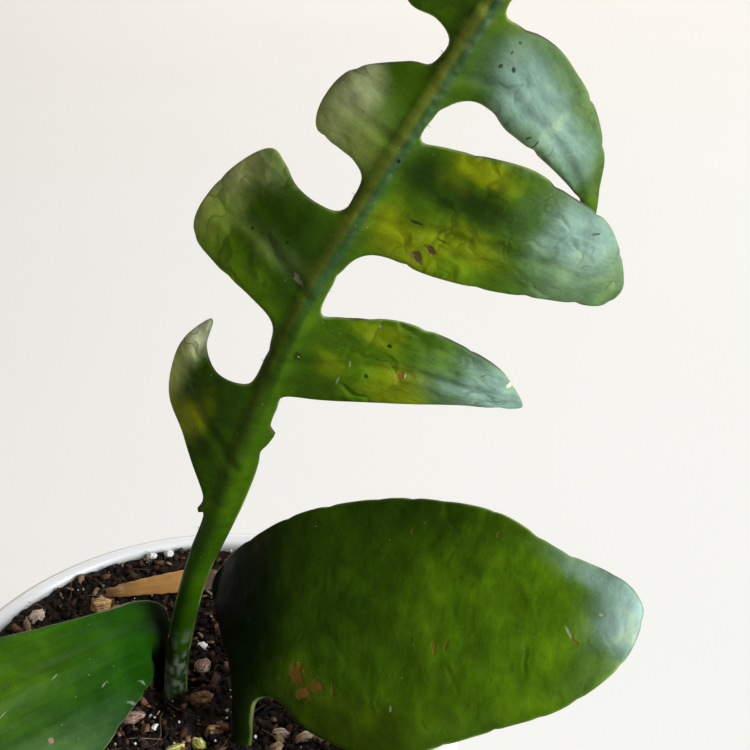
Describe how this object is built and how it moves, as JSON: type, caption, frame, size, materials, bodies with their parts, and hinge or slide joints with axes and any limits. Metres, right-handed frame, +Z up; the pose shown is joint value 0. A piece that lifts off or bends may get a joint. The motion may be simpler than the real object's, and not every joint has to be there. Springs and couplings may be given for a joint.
{
  "type": "potted orchid cactus",
  "caption": "Orchid cactus in a round glazed pot: a tall flat stem with deep zigzag lobes and two broad flat stems, rooted in dark bark and peat mix.",
  "frame": {"origin": "centre of the pot's flat base, on the surface that it stands on", "axes": "+Z up along the pot's axis, +X to the right along the tall stem's lean, -Y towards the viewer"},
  "size_m": [0.1641, 0.1297, 0.3058],
  "materials": {
    "pot_glaze": "gloss",
    "potting_mix": "matte",
    "lobed_stem_skin": "satin",
    "broad_stem_right_skin": "satin",
    "broad_stem_left_skin": "satin",
    "dry_husk": "matte",
    "bark": "matte",
    "perlite": "matte"
  },
  "bodies": {
    "root": {"pot": "pot_glaze", "potting_soil": "potting_mix", "lobed_stem": "lobed_stem_skin", "broad_stem_right": "broad_stem_right_skin", "broad_stem_left": "broad_stem_left_skin", "dry_strip": "dry_husk", "bark_chip_01": "bark", "bark_chip_02": "bark", "bark_chip_03": "bark", "bark_chip_04": "bark", "bark_chip_05": "bark", "bark_chip_06": "bark", "bark_chip_07": "bark", "bark_chip_08": "bark", "bark_chip_09": "bark", "bark_chip_10": "bark", "bark_chip_11": "bark", "bark_chip_12": "bark", "bark_chip_13": "bark", "bark_chip_14": "bark", "bark_chip_15": "bark", "bark_chip_16": "bark", "bark_chip_17": "bark", "bark_chip_18": "bark", "bark_chip_19": "bark", "bark_chip_20": "bark", "perlite_grain_01": "perlite", "perlite_grain_02": "perlite", "perlite_grain_03": "perlite", "perlite_grain_04": "perlite", "perlite_grain_05": "perlite", "perlite_grain_06": "perlite", "perlite_grain_07": "perlite", "perlite_grain_08": "perlite", "perlite_grain_09": "perlite"}
  },
  "joints": []
}
